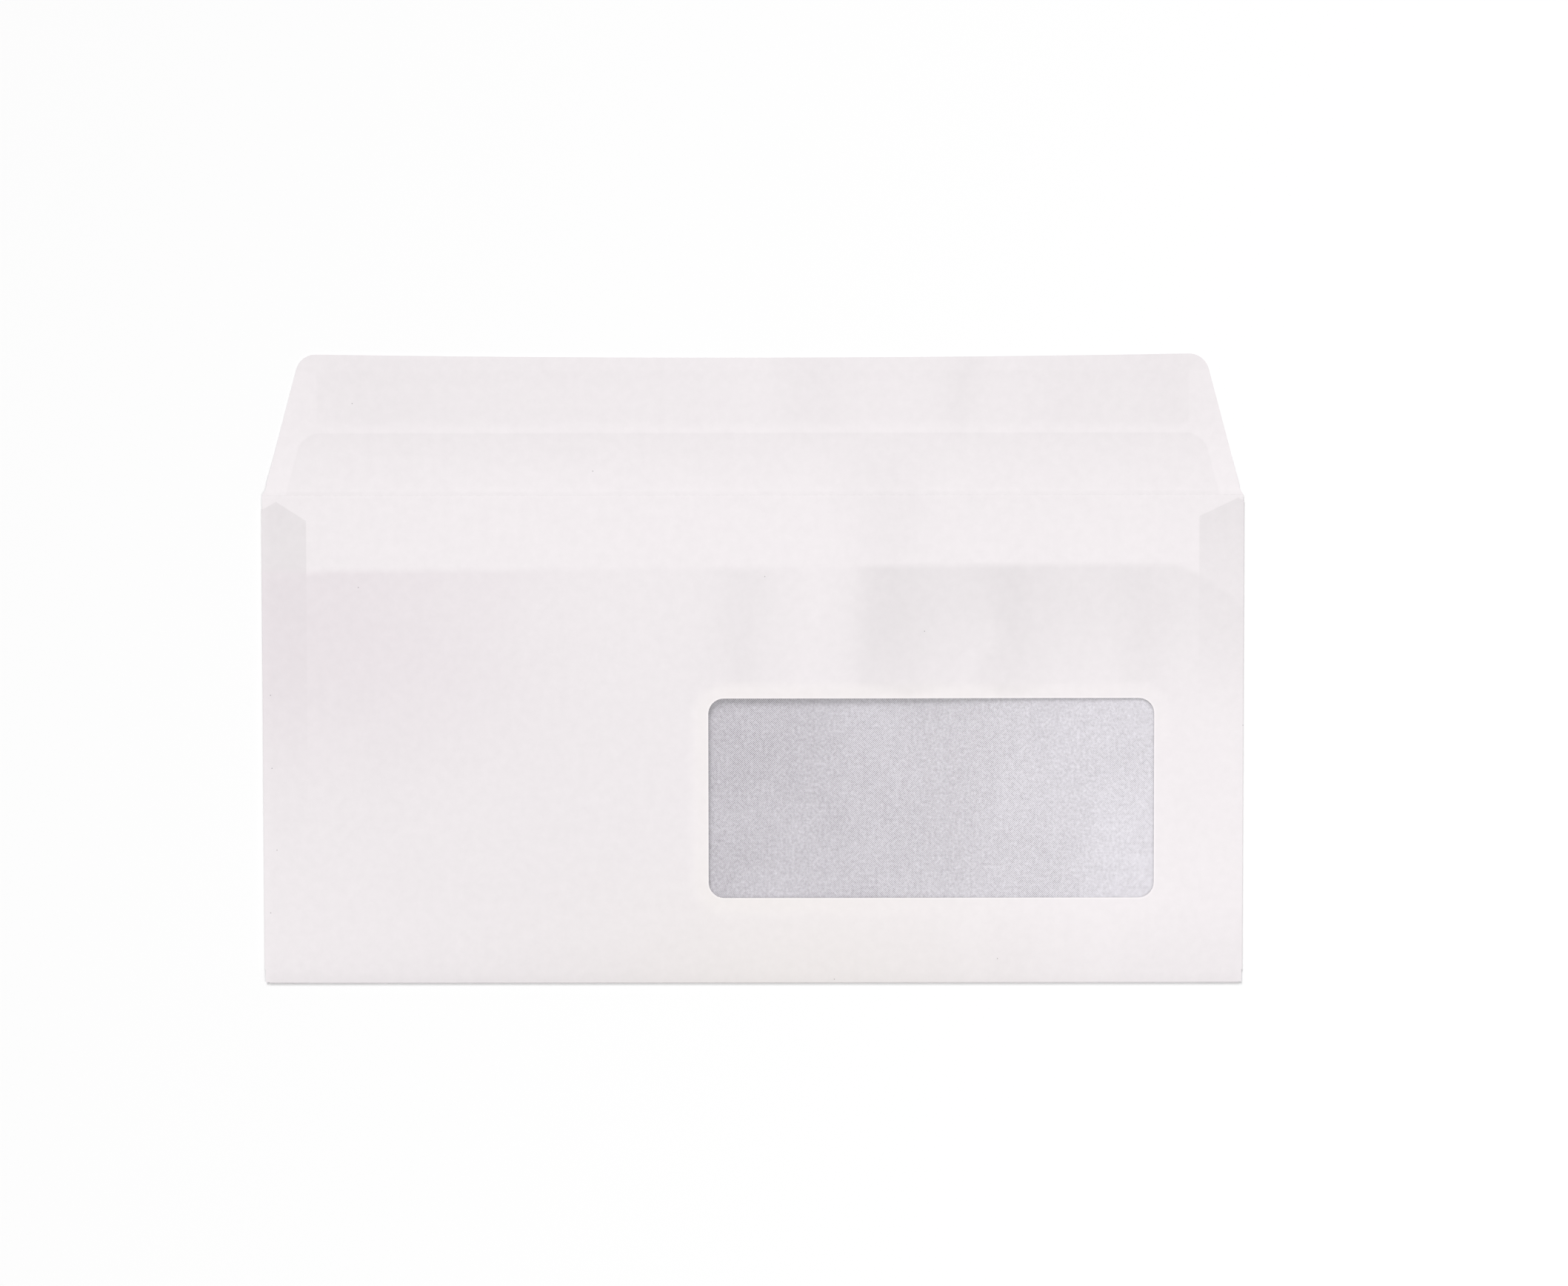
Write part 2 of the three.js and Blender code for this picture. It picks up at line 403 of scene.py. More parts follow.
def slab(columns, rows, thickness):
    """A closed flat slab on z = 0 with grid lines at the given places."""
    mesh = bpy.data.meshes.new("slab")
    grid = bmesh.new()
    layers = [[[grid.verts.new((x, y, z)) for x in columns] for y in rows] for z in (0, thickness)]
    low, high = layers
    for j in range(len(rows) - 1):
        for i in range(len(columns) - 1):
            grid.faces.new((high[j][i], high[j][i + 1], high[j + 1][i + 1], high[j + 1][i]))
            grid.faces.new((low[j][i], low[j + 1][i], low[j + 1][i + 1], low[j][i + 1]))
    last, end = len(columns) - 1, len(rows) - 1
    for i in range(last):
        grid.faces.new((low[0][i], low[0][i + 1], high[0][i + 1], high[0][i]))
        grid.faces.new((low[end][i + 1], low[end][i], high[end][i], high[end][i + 1]))
    for j in range(end):
        grid.faces.new((low[j + 1][0], low[j][0], high[j][0], high[j + 1][0]))
        grid.faces.new((low[j][last], low[j + 1][last], high[j + 1][last], high[j][last]))
    grid.to_mesh(mesh)
    grid.free()
    return mesh


def new_object(name, data):
    """An object of the scene with the given mesh, curve, lamp or camera."""
    thing = bpy.data.objects.new(name, data)
    bpy.context.scene.collection.objects.link(thing)
    return thing


def evaluated_mesh(thing, name):
    """The object's mesh with its modifiers applied, as a plain mesh."""
    graph = bpy.context.evaluated_depsgraph_get()
    mesh = bpy.data.meshes.new_from_object(thing.evaluated_get(graph))
    mesh.name = name
    return mesh


def cutter(outlines, thickness):
    """A closed block with the first outline as its side and any others as holes through it."""
    curve = bpy.data.curves.new("cutter", "CURVE")
    curve.dimensions = "2D"
    curve.fill_mode = "BOTH"
    curve.extrude = 3 * thickness
    for outline in outlines:
        spline = curve.splines.new("POLY")
        spline.points.add(len(outline) - 1)
        for point, (x, y) in zip(spline.points, outline):
            point.co = (x, y, 0, 1)
        spline.use_cyclic_u = True
    block = new_object("cutter", curve)
    solid = new_object("cutter_solid", evaluated_mesh(block, "cutter_solid"))
    bpy.data.objects.remove(block)
    edges = bmesh.new()
    edges.from_mesh(solid.data)
    bmesh.ops.remove_doubles(edges, verts=edges.verts, dist=0.001 * mm)
    bmesh.ops.recalc_face_normals(edges, faces=edges.faces)
    edges.to_mesh(solid.data)
    edges.free()
    return solid


def cut_sheet(name, columns, rows, thickness, outlines):
    """A flat sheet cut to its outline, with its grid lines kept and its flat places in the UV map blank."""
    sheet = new_object(name, slab(columns, rows, thickness))
    tool = cutter(outlines, thickness)
    cut = sheet.modifiers.new("cut", "BOOLEAN")
    cut.operation = "INTERSECT"
    cut.solver = "EXACT"
    cut.object = tool
    mesh = evaluated_mesh(sheet, name)
    sheet.modifiers.clear()
    sheet.data = mesh
    bpy.data.objects.remove(tool)
    places = mesh.uv_layers.new(name="blank")
    for loop in mesh.loops:
        places.data[loop.index].uv = mesh.vertices[loop.vertex_index].co.xy
    return sheet


def fold_tree():
    """The tree that folds a flat blank round its creases and stands the pocket open."""
    tree = bpy.data.node_groups.new("fold_the_blank", "GeometryNodeTree")
    tree.interface.new_socket("Geometry", in_out="INPUT", socket_type="NodeSocketGeometry")
    tree.interface.new_socket("Geometry", in_out="OUTPUT", socket_type="NodeSocketGeometry")
    sizes = {
        "Depth offset": 0,
        "Pocket bulge": pocket_bulge,
        "Bulge length": bulge_length,
        "Side crease": side_crease_at,
        "Side crease height": side_crease_z,
        "Side crease radius": crease_radius,
        "Side crease length": side_crease_length,
        "Bottom crease": bottom_crease_at,
        "Bottom crease height": bottom_crease_z,
        "Bottom crease radius": bottom_radius,
        "Bottom crease length": bottom_crease_length,
        "Top fold": fold_y,
        "Flap settle": flap_settle,
        "Panel rest": panel_rest,
        "Flap rest": flap_rest,
        "Score depth": score_depth,
        "Cockle": cockle,
        "Sink": sink,
    }
    for name, value in sizes.items():
        socket = tree.interface.new_socket(name, in_out="INPUT", socket_type="NodeSocketFloat")
        socket.default_value = value
    for name in finish_names:
        tree.interface.new_socket(name, in_out="INPUT", socket_type="NodeSocketMaterial")
    entry = tree.nodes.new("NodeGroupInput")
    size = {name: Term(tree, entry.outputs[name]) for name in sizes}
    position = tree.nodes.new("GeometryNodeInputPosition")
    split = tree.nodes.new("ShaderNodeSeparateXYZ")
    tree.links.new(position.outputs[0], split.inputs[0])
    x, y, z = (Term(tree, socket) for socket in split.outputs)
    depth = z + size["Depth offset"]

    # The front panel bulges between the side creases and from the bottom fold up
    side = (x.math("ABSOLUTE") / size["Side crease"]).math("MINIMUM", 1)
    crown = (side * side).minus_from(1) * size["Pocket bulge"]
    along = (y.math("MINIMUM", size["Top fold"]) - size["Bottom crease"]).math("MAXIMUM", 0)
    wave = (along * math.pi / size["Bulge length"]).math("SINE")
    flat_place = tree.nodes.new("ShaderNodeCombineXYZ")
    tree.links.new(x.value, flat_place.inputs[0])
    tree.links.new(y.value, flat_place.inputs[1])
    swell = noise_term(tree, flat_place.outputs[0], scale=16, detail=1, seed=3.7)
    sunk = x.past(sink_middle, sink_run) * size["Sink"]
    uneven = ((swell - 0.5) * size["Cockle"] - sunk) * wave * crown / size["Pocket bulge"]
    panel = crown * wave + size["Panel rest"] + uneven

    # The flap settles from the panel's height at the fold to its own
    above = y - size["Top fold"]
    settled = (above.math("MAXIMUM", 0) / size["Flap settle"]).minus_from(1).math("MAXIMUM", 0)
    on_flap = above.math("GREATER_THAN", 0)
    lowered = (panel - size["Flap rest"]) * settled * settled + size["Flap rest"]
    inner_face = on_flap * lowered + on_flap.minus_from(1) * panel

    # The fold is scored unevenly, with a low lip above the groove
    groove = spot(above, 0, score_reach)
    lip = spot(above, lip_above_fold, lip_reach) * lip_share
    along_fold = tree.nodes.new("ShaderNodeCombineXYZ")
    tree.links.new(x.value, along_fold.inputs[0])
    pressed = noise_term(tree, along_fold.outputs[0], scale=240, detail=2, seed=0.8).past(0.5, 0.3)
    panel_z = inner_face + (lip - groove) * pressed * size["Score depth"] + depth

    def rolled(past, word):
        """Where a place past a crease ends up: out from the crease, and its height."""
        turn = (past / size[word + " crease length"]).math("MINIMUM", 1) * math.pi
        radius = size[word + " crease radius"] + depth
        back = (past - size[word + " crease length"]).math("MAXIMUM", 0)
        out = turn.math("SINE") * radius - back
        height = turn.math("COSINE") * radius + size[word + " crease height"]
        return out, height

    # Past the side and bottom creases the sheet rolls over and runs back
    past_side = x.math("ABSOLUTE") - size["Side crease"]
    side_out, side_z = rolled(past_side.math("MAXIMUM", 0), "Side")
    past_bottom = y.minus_from(0) + size["Bottom crease"]
    bottom_out, bottom_z = rolled(past_bottom.math("MAXIMUM", 0), "Bottom")
    in_side = past_side.math("GREATER_THAN", 0) * y.math("LESS_THAN", size["Top fold"])
    in_side = in_side * past_bottom.math("LESS_THAN", 0)
    in_bottom = past_bottom.math("GREATER_THAN", 0)
    in_panel = (in_side + in_bottom).minus_from(1)
    side_x = (side_out + size["Side crease"]) * x.math("SIGN")
    back_y = bottom_out.minus_from(0) + size["Bottom crease"]
    placed = tree.nodes.new("ShaderNodeCombineXYZ")
    results = (
        in_side * side_x + in_side.minus_from(1) * x,
        in_bottom * back_y + in_bottom.minus_from(1) * y,
        in_side * side_z + in_bottom * bottom_z + in_panel * panel_z,
    )
    for result, socket in zip(results, placed.inputs):
        tree.links.new(result.value, socket)
    move = tree.nodes.new("GeometryNodeSetPosition")
    tree.links.new(entry.outputs["Geometry"], move.inputs["Geometry"])
    tree.links.new(placed.outputs[0], move.inputs["Position"])
    realize = tree.nodes.new("GeometryNodeRealizeInstances")
    tree.links.new(move.outputs[0], realize.inputs[0])
    finished = finish_faces(tree, entry, realize.outputs[0])
    leave = tree.nodes.new("NodeGroupOutput")
    tree.links.new(finished, leave.inputs[0])
    return tree


def finish_faces(tree, entry, geometry):
    """Set each face's material by its number in the attribute finish."""
    kind = tree.nodes.new("GeometryNodeInputNamedAttribute")
    kind.data_type = "INT"
    kind.inputs["Name"].default_value = "finish"
    for number, name in enumerate(finish_names):
        chosen = tree.nodes.new("FunctionNodeCompare")
        chosen.data_type = "INT"
        chosen.operation = "EQUAL"
        tree.links.new(kind.outputs["Attribute"], chosen.inputs["A"])
        chosen.inputs["B"].default_value = number
        coat = tree.nodes.new("GeometryNodeSetMaterial")
        tree.links.new(geometry, coat.inputs["Geometry"])
        tree.links.new(chosen.outputs["Result"], coat.inputs["Selection"])
        tree.links.new(entry.outputs[name], coat.inputs["Material"])
        geometry = coat.outputs["Geometry"]
    return geometry


def set_inputs(modifier, values):
    """Set the tree's inputs on its modifier by their names."""
    for item in modifier.node_group.interface.items_tree:
        if item.name in values and item.in_out == "INPUT":
            modifier[item.identifier] = values[item.name]


def mark_finishes(sheet):
    """Number a flat sheet's faces by their finish: outside, inside or cut edge."""
    kind = sheet.data.attributes.new("finish", "INT", "FACE")
    for face in sheet.data.polygons:
        if abs(face.normal.z) < 0.5:
            finish = cut_face
        elif face.normal.z > 0:
            finish = outside_face
        else:
            finish = inside_face
        kind.data[face.index].value = finish


def mark_sharp(mesh):
    """Hard edges where faces of two finishes meet."""
    kind = mesh.attributes["finish"].data
    kinds = {}
    for face in mesh.polygons:
        for key in face.edge_keys:
            kinds.setdefault(key, set()).add(kind[face.index].value)
    for edge in mesh.edges:
        edge.use_edge_sharp = len(kinds[edge.key]) > 1


def folded(sheet, tree, values, finishes):
    """The flat sheet folded and finished by the tree, and left as a plain mesh."""
    mark_finishes(sheet)
    fold = sheet.modifiers.new("fold", "NODES")
    fold.node_group = tree
    set_inputs(fold, {**values, **dict(zip(finish_names, finishes))})
    mesh = evaluated_mesh(sheet, sheet.name)
    sheet.modifiers.clear()
    sheet.data = mesh
    mesh.shade_smooth()
    mark_sharp(mesh)


def tree_of(name):
    """A new material with its node tree and its main shader."""
    material = bpy.data.materials.new(name)
    material.use_nodes = True
    nodes = material.node_tree.nodes
    return material, material.node_tree, nodes["Principled BSDF"]


def colour_from(rgb):
    """A colour as the eye reads it, from 0 to 255, as light."""
    def light(c):
        c /= 255
        return c / 12.92 if c <= 0.04045 else ((c + 0.055) / 1.055) ** 2.4
    return (*(light(c) for c in rgb), 1.0)


def blank_place(tree):
    """The place on the flat blank, in metres, as two Terms and the vector's socket."""
    node = tree.nodes.new("ShaderNodeUVMap")
    node.uv_map = "blank"
    split = tree.nodes.new("ShaderNodeSeparateXYZ")
    tree.links.new(node.outputs[0], split.inputs[0])
    return Term(tree, split.outputs[0]), Term(tree, split.outputs[1]), node.outputs[0]


def noise_term(tree, vector, scale, detail, seed):
    """Smooth noise from 0 to 1, with its middle at about 0.5."""
    node = tree.nodes.new("ShaderNodeTexNoise")
    node.noise_dimensions = "4D"
    node.inputs["W"].default_value = seed
    node.inputs["Scale"].default_value = scale
    node.inputs["Detail"].default_value = detail
    tree.links.new(vector, node.inputs["Vector"])
    return Term(tree, node.outputs[0])


def tinted(tree, colour, shade):
    """The colour times a shade that varies over the surface."""
    node = tree.nodes.new("ShaderNodeVectorMath")
    node.operation = "SCALE"
    node.inputs[0].default_value = colour[:3]
    tree.links.new(shade.value, node.inputs["Scale"])
    return node.outputs[0]


def fibre_bump(tree, vector, shader, strength):
    """The fine uneven surface of uncoated paper."""
    fine = noise_term(tree, vector, scale=2600, detail=3, seed=1.3)
    cloud = noise_term(tree, vector, scale=420, detail=2, seed=5.1)
    bump = tree.nodes.new("ShaderNodeBump")
    bump.inputs["Strength"].default_value = strength
    bump.inputs["Distance"].default_value = 0.02 * mm
    tree.links.new((fine * 0.6 + cloud * 0.4).value, bump.inputs["Height"])
    tree.links.new(bump.outputs[0], shader.inputs["Normal"])


def spot(place, middle, reach):
    """1 at the middle, falling softly to nothing on both sides."""
    off = (place - middle) / reach
    return (off * off * -1).math("EXPONENT")


def streaks(x, places):
    """The sum of soft streaks, each with its middle and reach in millimetres and its strength."""
    parts = [spot(x, middle * mm, reach * mm) * strength for middle, reach, strength in places]
    total = parts[0]
    for part in parts[1:]:
        total = total + part
    return total


def past_corner(across, along, corner_across, corner_along, radius):
    """How far a place lies outside a rounded corner, less than 0 inside it."""
    a = (across - (corner_across - radius)).math("MAXIMUM", 0)
    b = (along - (corner_along - radius)).math("MAXIMUM", 0)
    return (a * a + b * b).math("SQRT") - radius


def past_window(x, y):
    """How far a place lies outside the window."""
    across = (x - window_middle[0]).math("ABSOLUTE")
    along = (y - window_middle[1]).math("ABSOLUTE")
    return past_corner(across, along, window_width / 2, window_height / 2, window_radius)


def top_drop(inside, top):
    """How far below the top fold the side flap's upper edge lies, so far inside the envelope's edge."""
    near_slope = (top["notch"] - top["peak"]) / top["peak_in"]
    far_slope = (top["shoulder"] - top["peak"]) / (side_flap_width - top["peak_in"])
    near = inside * -near_slope + top["notch"]
    far = (inside - top["peak_in"]) * far_slope + top["peak"]
    return near.math("MAXIMUM", far)


def past_print(x, up):
    """How far a place lies outside the inside's print, up being its height above the top fold."""
    outward = x.math("ABSOLUTE") + up.math("MAXIMUM", 0) * math.tan(flap_side_angle)
    return past_corner(outward, up, half_width - print_side_inset, print_height, print_corner)


def strip_behind(x, y, side, top):
    """1 where a side flap lies behind the front panel."""
    inside = (x * side * -1) + half_width
    crisp = 0.4 * mm
    inner_edge = inside.past(side_flap_width, crisp).minus_from(1)
    below_top = (y + top_drop(inside, top)).past(fold_y, crisp).minus_from(1)
    return inner_edge * below_top * y.past(bottom_y + side_flap_foot, 2 * mm)


def panel_behind(x, y):
    """1 where the back panel lies behind the front panel."""
    level_half = back_half - throat_dip_length
    level_run = 2 * back_half - throat_dip_length
    past_left = ((x + level_half) * -1 / throat_dip_length).math("MAXIMUM", 0)
    past_right = ((x - level_half) / throat_dip_length).math("MAXIMUM", 0)
    drop = x.past(0, level_run) * (throat_right["drop"] - throat_left["drop"]) + throat_left["drop"]
    drop = drop + past_left * past_left * throat_left["dip"] + past_right * past_right * throat_right["dip"]
    return (y + drop).past(fold_y, 2.2 * mm).minus_from(1) * y.past(bottom_crease_at, 0.5 * mm)


def back_panel_and_buckle_shade(x, y, wavy, drift):
    """How much darker the front panel looks where the back panel lies against it, with painted shade and
    light of its soft buckles.
    """
    high = y + drift * 20 * mm
    near_middle = (x - y).past(60 * mm, 120 * mm).minus_from(1) * near_middle_tone
    left_cloud = upper_left(x + drift * 50 * mm, y + drift * 40 * mm) * left_cloud_tone
    right_cloud = wavy.past(25 * mm, 8 * mm) * high.past(0, 34 * mm) * right_cloud_tone
    # Painted shade along the soft buckles, and painted light on the lobes between them
    buckle_streaks = streaks(wavy, panel_streaks) * high.past(-6 * mm, 16 * mm)
    buckle_lobes = streaks(wavy, panel_lobes) * y.past(11 * mm, 14 * mm).minus_from(1)
    return near_middle + left_cloud + right_cloud + buckle_streaks - buckle_lobes


def panel_shade(x, y, drift):
    """How much darker the front panel looks for what lies close behind it, with painted shade and light
    added.
    """
    wavy = x + drift * 16 * mm
    left = strip_behind(x, y, -1, left_flap_top) * y.past(-10 * mm, 72 * mm)
    right = strip_behind(x, y, 1, right_flap_top) * y.past(12 * mm, 56 * mm)
    strips = left * left_strip_tone + right * right_strip_tone

    # The back panel shows less through a side flap, and not at all in the light border round the window
    tips = (streaks(wavy, border_tips) + 1) * y.past(-8 * mm, 4 * mm) * mm
    clear_of_border = (past_window(x, y) + tips).past(4 * mm, 3 * mm)
    through_strips = ((left + right) * strip_cover).minus_from(1)
    behind = back_panel_and_buckle_shade(x, y, wavy, drift) * panel_behind(x, y) * clear_of_border * through_strips

    # Darker towards the bottom edge
    bottom_roll = (y - x * 0.05).past(bottom_y + 6 * mm, 20 * mm).minus_from(1) * bottom_roll_tone
    # Painted shade of a soft buckle, as a dark patch between the back panel's edge and the top fold
    dark_patch = spot(wavy, 30 * mm, 9 * mm) * y.past(fold_y - throat_right["drop"], 12 * mm)
    # A touch darker just below the top fold, more so to the right
    under_fold = y.past(fold_y - 6 * mm, 12 * mm) * (x.past(25 * mm, 40 * mm) + 1)
    darker = bottom_roll + dark_patch * panel_dark_patch_tone + under_fold * under_fold_tone

    # Painted light on the right side, along the left crease and at the lower left
    right_side = (x - y).past(130 * mm, 60 * mm) * right_side_painted_light
    border = clear_of_border.minus_from(1) * film_border_lift
    left_crease = (x * -1).past(half_width - 1.5 * mm, 2 * mm) * left_crease_painted_light
    lower_left = x.past(-75 * mm, 50 * mm).minus_from(1) * y.past(-45 * mm, 30 * mm).minus_from(1)
    lighter = right_side + border + left_crease + lower_left * lower_left_painted_light
    return strips + behind + darker - lighter


def upper_left(x, y):
    """1 at the envelope's upper left, fading to the right and downwards."""
    return x.past(-60 * mm, 70 * mm).minus_from(1) * y.past(-16 * mm, 46 * mm)


def flap_shade(x, y, drift):
    """How much darker the top flap looks for the print and the strip under it, with painted shade of its
    soft buckles.
    """
    up = y - fold_y
    edge = past_print(x, up)
    tone = up / print_height * print_top_tone + print_tone
    printed = edge.past(-0.1 * mm, 0.5 * mm).minus_from(1) * tone
    printed = printed - spot(edge, 0.6 * mm, 0.5 * mm) * print_edge_lift

    # The strip's lower edge stands off a little and looks softer than its other edges
    crisp = 0.8 * mm
    soft = 2.2 * mm
    above_strip = y.past(liner_high[1], crisp)
    across = x.math("ABSOLUTE").past(liner_high[0], crisp).minus_from(1)
    strip = across * y.past(liner_low[1] - 0.4 * mm, soft) * above_strip.minus_from(1)
    near_top = y.past(liner_high[1] - 3 * mm, 3 * mm)
    pressed = strip * (near_top * seal_strip_top_tone + seal_strip_tone) + above_strip * flap_rim_tone

    # Painted shade of the same soft buckle, as a dark patch low on the flap
    dark_patch = spot(x, 30 * mm, 10 * mm) * up.past(9 * mm, 12 * mm).minus_from(1) * flap_dark_patch_tone
    # Painted shade of the flap's soft buckles
    uneven = streaks(x + drift * 12 * mm, flap_streaks) * up.past(14 * mm, 12 * mm)
    return printed + pressed + dark_patch + uneven


def show_through_and_painted_shade(x, y, drift):
    """How much darker the sheet's outside looks for the layers behind it, with painted shade and light
    added.
    """
    on_flap = y.math("GREATER_THAN", fold_y)
    on_back = y.math("LESS_THAN", bottom_crease_at)
    on_panel = (on_flap + on_back).minus_from(1)
    back_strips = x.math("ABSOLUTE").past(half_width - side_flap_width, 0.4 * mm) * back_strip_tone
    shade = on_flap * flap_shade(x, y, drift) + on_panel * panel_shade(x, y, drift)
    return shade + on_back * back_strips


def specks(tree, vector):
    """1 on a few small dark fibres."""
    cells = tree.nodes.new("ShaderNodeTexVoronoi")
    cells.voronoi_dimensions = "2D"
    cells.inputs["Scale"].default_value = speck_cells
    tree.links.new(vector, cells.inputs["Vector"])
    split = tree.nodes.new("ShaderNodeSeparateColor")
    tree.links.new(cells.outputs["Color"], split.inputs[0])
    chosen = Term(tree, split.outputs[0]).math("LESS_THAN", speck_share)
    return Term(tree, cells.outputs["Distance"]).past(speck_radius, 0.005).minus_from(1) * chosen


def plus_tint(tree, colour, tint, amount):
    """The colour with a faint tint added where the amount says."""
    faint = tinted(tree, tint, amount)
    node = tree.nodes.new("ShaderNodeVectorMath")
    tree.links.new(colour, node.inputs[0])
    tree.links.new(faint, node.inputs[1])
    return node.outputs[0]


def paper_outside():
    """White uncoated paper, with the layers behind it showing through as soft tones, and some painted shade
    and light.
    """
    material, tree, shader = tree_of("envelope_paper_outside")
    x, y, vector = blank_place(tree)
    formation = noise_term(tree, vector, scale=130, detail=4, seed=8.2) - 0.5
    cloud = noise_term(tree, vector, scale=28, detail=2, seed=5.5) - 0.5
    mottle = noise_term(tree, vector, scale=460, detail=2, seed=6.3) - 0.5
    grain = noise_term(tree, vector, scale=1500, detail=2, seed=2.4) - 0.5
    uneven = (
        formation * formation_strength
        + cloud * cloud_strength
        + mottle * mottle_strength
        + grain * grain_strength
    )
    drift = noise_term(tree, vector, scale=45, detail=3, seed=7.1) - 0.5
    shade = show_through_and_painted_shade(x, y, drift).minus_from(1) - uneven - specks(tree, vector) * speck_tone
    # A painted highlight along the window's cut edge
    rim_highlight = past_window(x, y).past(0.35 * mm, 0.2 * mm).minus_from(1) * rim_highlight_lift
    # A painted dark line of shade along the scored top fold, broken along its length
    broken = noise_term(tree, vector, scale=1100, detail=1, seed=4.9).past(0.5, 0.25) + 0.3
    score = spot(y, fold_y - 0.1 * mm, 0.12 * mm) * broken * score_shade_tone
    colour = tinted(tree, colour_from(outside_colour), shade + rim_highlight - score)

    # The paper is a touch pinker at the upper left, and creamier at the bottom and round the window
    pink = upper_left(x + drift * 50 * mm, y) * y.past(fold_y - throat_left["drop"], 2 * mm).minus_from(1)
    cream = y.past(bottom_y + 20 * mm, 40 * mm).minus_from(1) * spot(x, 10 * mm, 50 * mm)
    border = past_window(x, y).past(3 * mm, 4 * mm).minus_from(1)
    rightwards = (x - y).past(window_middle[0] - window_middle[1] + 10 * mm, 90 * mm)
    colour = plus_tint(tree, colour, pink_tint, pink)
    colour = plus_tint(tree, colour, cream_tint, cream)
    colour = plus_tint(tree, colour, border_tint, border * rightwards.minus_from(1))
    tree.links.new(colour, shader.inputs["Base Color"])
    shader.inputs["Roughness"].default_value = 0.78
    shader.inputs["Specular IOR Level"].default_value = 0.3
    fibre_bump(tree, vector, shader, 0.5)
    return material


def paper_inside():
    """The inside with its grey print: a fine screen of dots at 45 degrees."""
    material, tree, shader = tree_of("envelope_paper_inside")
    x, y, vector = blank_place(tree)
    turns = 2 * math.pi / print_dot_pitch / math.sqrt(2)
    first = ((x + y) * turns).math("SINE")
    second = ((x - y) * turns).math("SINE")
    dots = (first + second).past(-0.1, 2.6)
    printed = past_print(x, y - fold_y).past(0, 0.15 * mm).minus_from(1)

    # The ink is uneven, and thinner towards the right
    cloud = noise_term(tree, vector, scale=48, detail=3, seed=8.2) - 0.5
    mottle = noise_term(tree, vector, scale=420, detail=2, seed=3.3) - 0.5
    grain = noise_term(tree, vector, scale=1500, detail=1, seed=7.7) - 0.5
    thinner = x.past(60 * mm, 52 * mm) * ink_thinning
    cover = cloud * ink_cloud + mottle * ink_mottle + grain * ink_grain - thinner + ink_cover
    ink = printed * dots * cover
    mix = tree.nodes.new("ShaderNodeMix")
    mix.data_type = "RGBA"
    mix.inputs["A"].default_value = colour_from(inside_colour)
    mix.inputs["B"].default_value = colour_from(ink_colour)
    tree.links.new(ink.value, mix.inputs["Factor"])
    tree.links.new(mix.outputs["Result"], shader.inputs["Base Color"])
    shader.inputs["Roughness"].default_value = 0.8
    shader.inputs["Specular IOR Level"].default_value = 0.3
    fibre_bump(tree, vector, shader, 0.4)
    return material


def paper_edge():
    """The cut edge of the sheet, with its loose fibres."""
    material, tree, shader = tree_of("envelope_paper_edge")
    coordinates = tree.nodes.new("ShaderNodeTexCoord")
    fibres = noise_term(tree, coordinates.outputs["Object"], scale=3000, detail=2, seed=4.4)
    shade = (fibres - 0.5) * 0.06 + 0.98
    tree.links.new(tinted(tree, colour_from(cut_edge_colour), shade), shader.inputs["Base Color"])
    shader.inputs["Roughness"].default_value = 0.95
    return material


def clear_film():
    """Clear film: light goes straight through, and the face shines more at a glancing angle."""
    material, tree, shader = tree_of("window_film_clear")
    tree.nodes.remove(shader)
    facing = tree.nodes.new("ShaderNodeLayerWeight")
    facing.inputs["Blend"].default_value = 0.5
    share = Term(tree, facing.outputs["Facing"]).math("POWER", 5) * film_glancing + film_mirror
    coordinates = tree.nodes.new("ShaderNodeTexCoord")
    ripple = noise_term(tree, coordinates.outputs["Object"], scale=60, detail=2, seed=6.6)
    bump = tree.nodes.new("ShaderNodeBump")
    bump.inputs["Strength"].default_value = 1
    bump.inputs["Distance"].default_value = 0.1 * mm
    tree.links.new(ripple.value, bump.inputs["Height"])
    clear = tree.nodes.new("ShaderNodeBsdfTransparent")
    clear.inputs[0].default_value = (0.975, 0.98, 0.985, 1)
    gloss = tree.nodes.new("ShaderNodeBsdfGlossy")
    gloss.inputs["Roughness"].default_value = 0.28
    tree.links.new(bump.outputs[0], gloss.inputs["Normal"])
    mix = tree.nodes.new("ShaderNodeMixShader")
    tree.links.new(share.value, mix.inputs[0])
    tree.links.new(clear.outputs[0], mix.inputs[1])
    tree.links.new(gloss.outputs[0], mix.inputs[2])
    tree.links.new(mix.outputs[0], tree.nodes["Material Output"].inputs["Surface"])
    return material


def liner_paper():
    """Thin siliconed paper, smooth and a little shiny."""
    material, tree, shader = tree_of("release_liner_paper")
    coordinates = tree.nodes.new("ShaderNodeTexCoord")
    place = coordinates.outputs["Object"]
    cloud = noise_term(tree, place, scale=300, detail=4, seed=9.3)
    shade = (cloud - 0.5) * 0.05 + 1
    tree.links.new(tinted(tree, colour_from(liner_colour), shade), shader.inputs["Base Color"])
    shader.inputs["Roughness"].default_value = 0.42
    fibre_bump(tree, place, shader, 0.2)
    return material


def seal_glue():
    """Pressure-sensitive adhesive, pale and slightly yellow."""
    material, tree, shader = tree_of("seal_adhesive_glue")
    coordinates = tree.nodes.new("ShaderNodeTexCoord")
    flow = noise_term(tree, coordinates.outputs["Object"], scale=500, detail=3, seed=2.9)
    shade = (flow - 0.5) * 0.08 + 1
    tree.links.new(tinted(tree, colour_from(adhesive_colour), shade), shader.inputs["Base Color"])
    shader.inputs["Roughness"].default_value = 0.3
    return material


